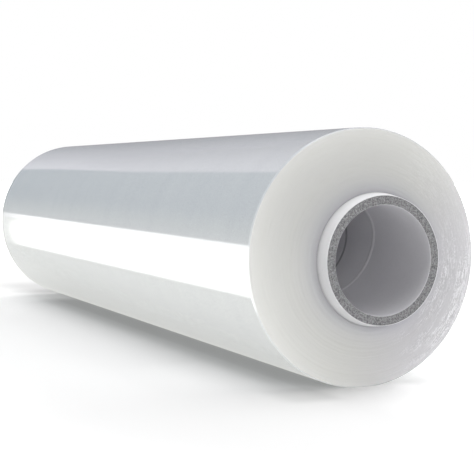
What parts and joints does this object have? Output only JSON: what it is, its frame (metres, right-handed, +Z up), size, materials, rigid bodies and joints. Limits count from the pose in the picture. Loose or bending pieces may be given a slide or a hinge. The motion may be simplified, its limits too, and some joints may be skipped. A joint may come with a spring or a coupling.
{
  "type": "stretch wrap roll",
  "caption": "Roll of clear stretch film wound on a paperboard core that stands out at both ends, lying on its side.",
  "frame": {"origin": "on the floor, under the middle of the roll", "axes": "+X along the core towards the end that faces the camera, +Z up, with the roll lying on its side"},
  "size_m": [0.489, 0.122, 0.1215],
  "materials": {
    "film": "gloss side, milky cut ends",
    "board": "grey chipboard, speckled on the cut ends",
    "white_plies": "smooth white paper"
  },
  "bodies": {
    "root": {"film_roll": "film", "core_tube": "board", "outer_plies": "white_plies"}
  },
  "joints": []
}
